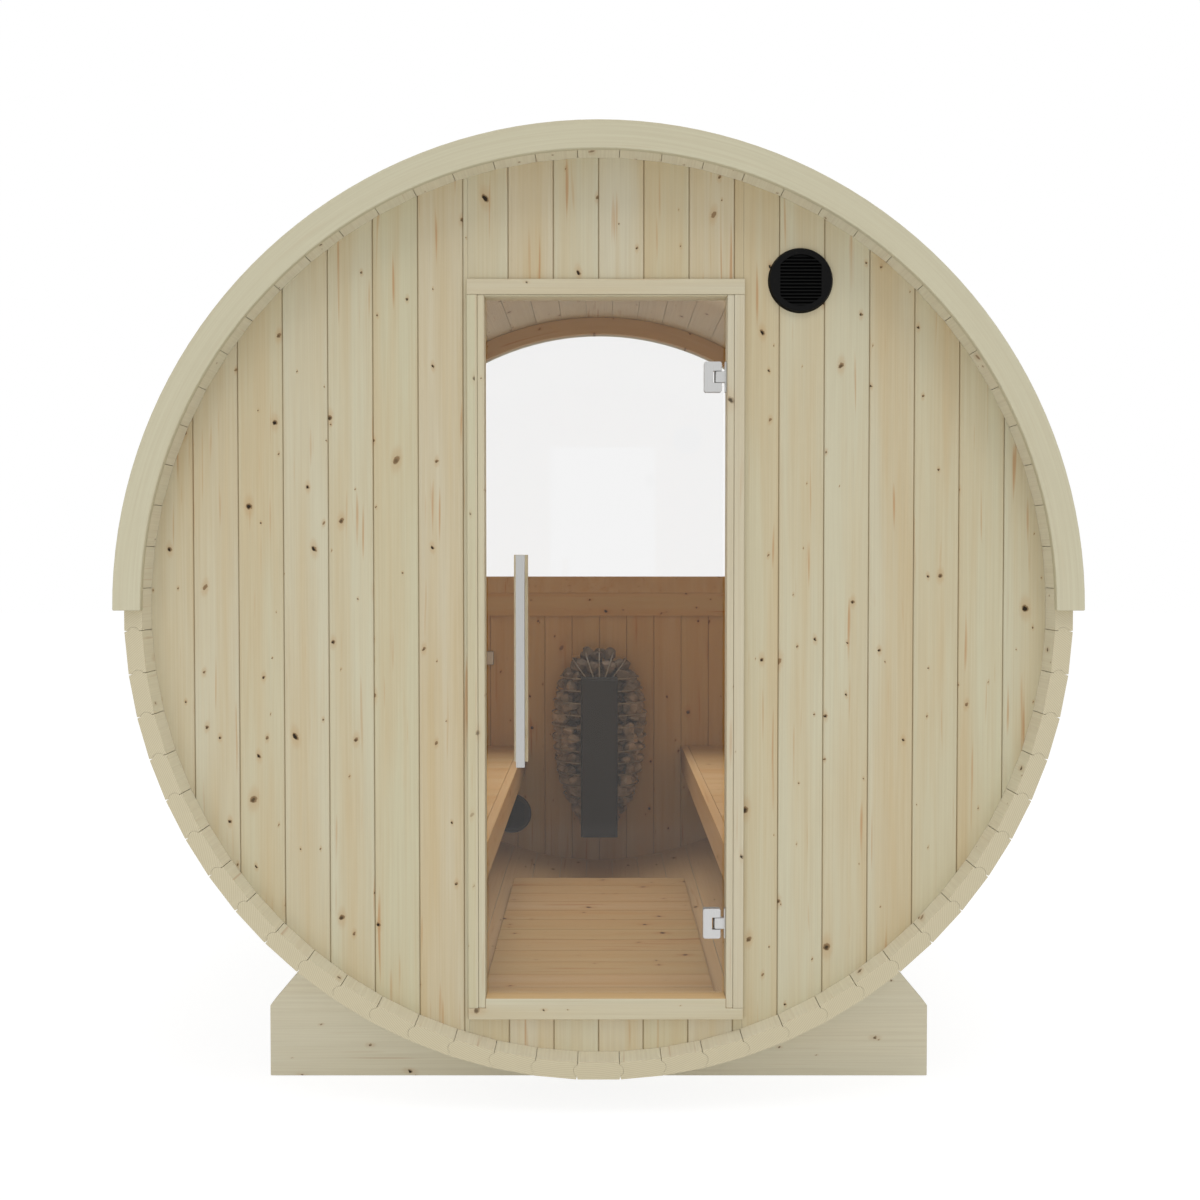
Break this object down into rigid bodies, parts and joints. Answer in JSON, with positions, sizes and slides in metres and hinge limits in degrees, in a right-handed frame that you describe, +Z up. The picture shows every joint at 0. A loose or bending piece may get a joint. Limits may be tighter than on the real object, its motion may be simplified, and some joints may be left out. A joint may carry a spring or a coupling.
{
  "type": "barrel sauna",
  "caption": "Barrel-shaped outdoor timber sauna on cradles, with a clear glass door, a half-round rear window, benches and a wall-hung stone heater.",
  "frame": {"origin": "on the ground, under the middle of the barrel's outer box", "axes": "+Z up, Y along the barrel with the door end at -Y, +X to the right seen from the door end"},
  "size_m": [2.314, 2.34, 2.382],
  "materials": {
    "spruce": "unfinished planed spruce",
    "inside_spruce": "planed spruce, untreated",
    "stainless_steel": "rolled stainless strip",
    "satin_steel": "satin",
    "clear_glass": "clear toughened glass",
    "black_plastic": "moulded, matt black",
    "black_steel": "matt black heat-proof paint",
    "steel_wire": "drawn steel wire",
    "sauna_stone": "broken grey-brown stones",
    "grey_metal": "satin"
  },
  "bodies": {
    "cabin": {"cradle_front": "spruce", "cradle_rear": "spruce", "staves_bottom": "spruce", "staves_lower_left": "spruce", "staves_lower_right": "spruce", "staves_upper_left": "spruce", "staves_upper_right": "spruce", "staves_crown": "spruce", "roof_boards_left": "spruce", "roof_boards_right": "spruce", "arch_board_front": "spruce", "arch_board_rear": "spruce", "front_wall_left": "spruce", "front_wall_right": "spruce", "front_wall_over_door": "spruce", "front_wall_under_door": "spruce", "door_jamb_left": "spruce", "door_jamb_right": "spruce", "door_head": "spruce", "door_sill": "spruce", "door_casing": "spruce", "rear_wall": "spruce", "rear_rail": "spruce", "rear_window_trim_inside": "spruce", "rear_window_trim_outside": "spruce", "floor_boards": "inside_spruce", "floor_bearers": "inside_spruce", "bench_slats_left": "inside_spruce", "bench_slats_right": "inside_spruce", "bench_apron_left": "inside_spruce", "bench_apron_right": "inside_spruce", "bench_battens_left": "inside_spruce", "bench_battens_right": "inside_spruce", "heater_backboard": "inside_spruce", "hoops": "stainless_steel", "hinge_brackets": "satin_steel", "rear_window_glass": "clear_glass", "front_vent": "black_plastic", "rear_vent": "black_plastic", "heater_column": "black_steel", "heater_basket": "steel_wire", "heater_stones": "sauna_stone", "wall_switch": "grey_metal"},
    "door": {"door_glass": "clear_glass", "door_bar_outside": "satin_steel", "door_grip_inside": "inside_spruce", "hinge_clamps": "satin_steel"}
  },
  "joints": [
    {"name": "door_hinge", "type": "hinge", "parent": "cabin", "child": "door", "pos_m": [0.2905, -1.066, 1.225], "axis": [0, 0, 1], "range_deg": [0, 100]}
  ]
}
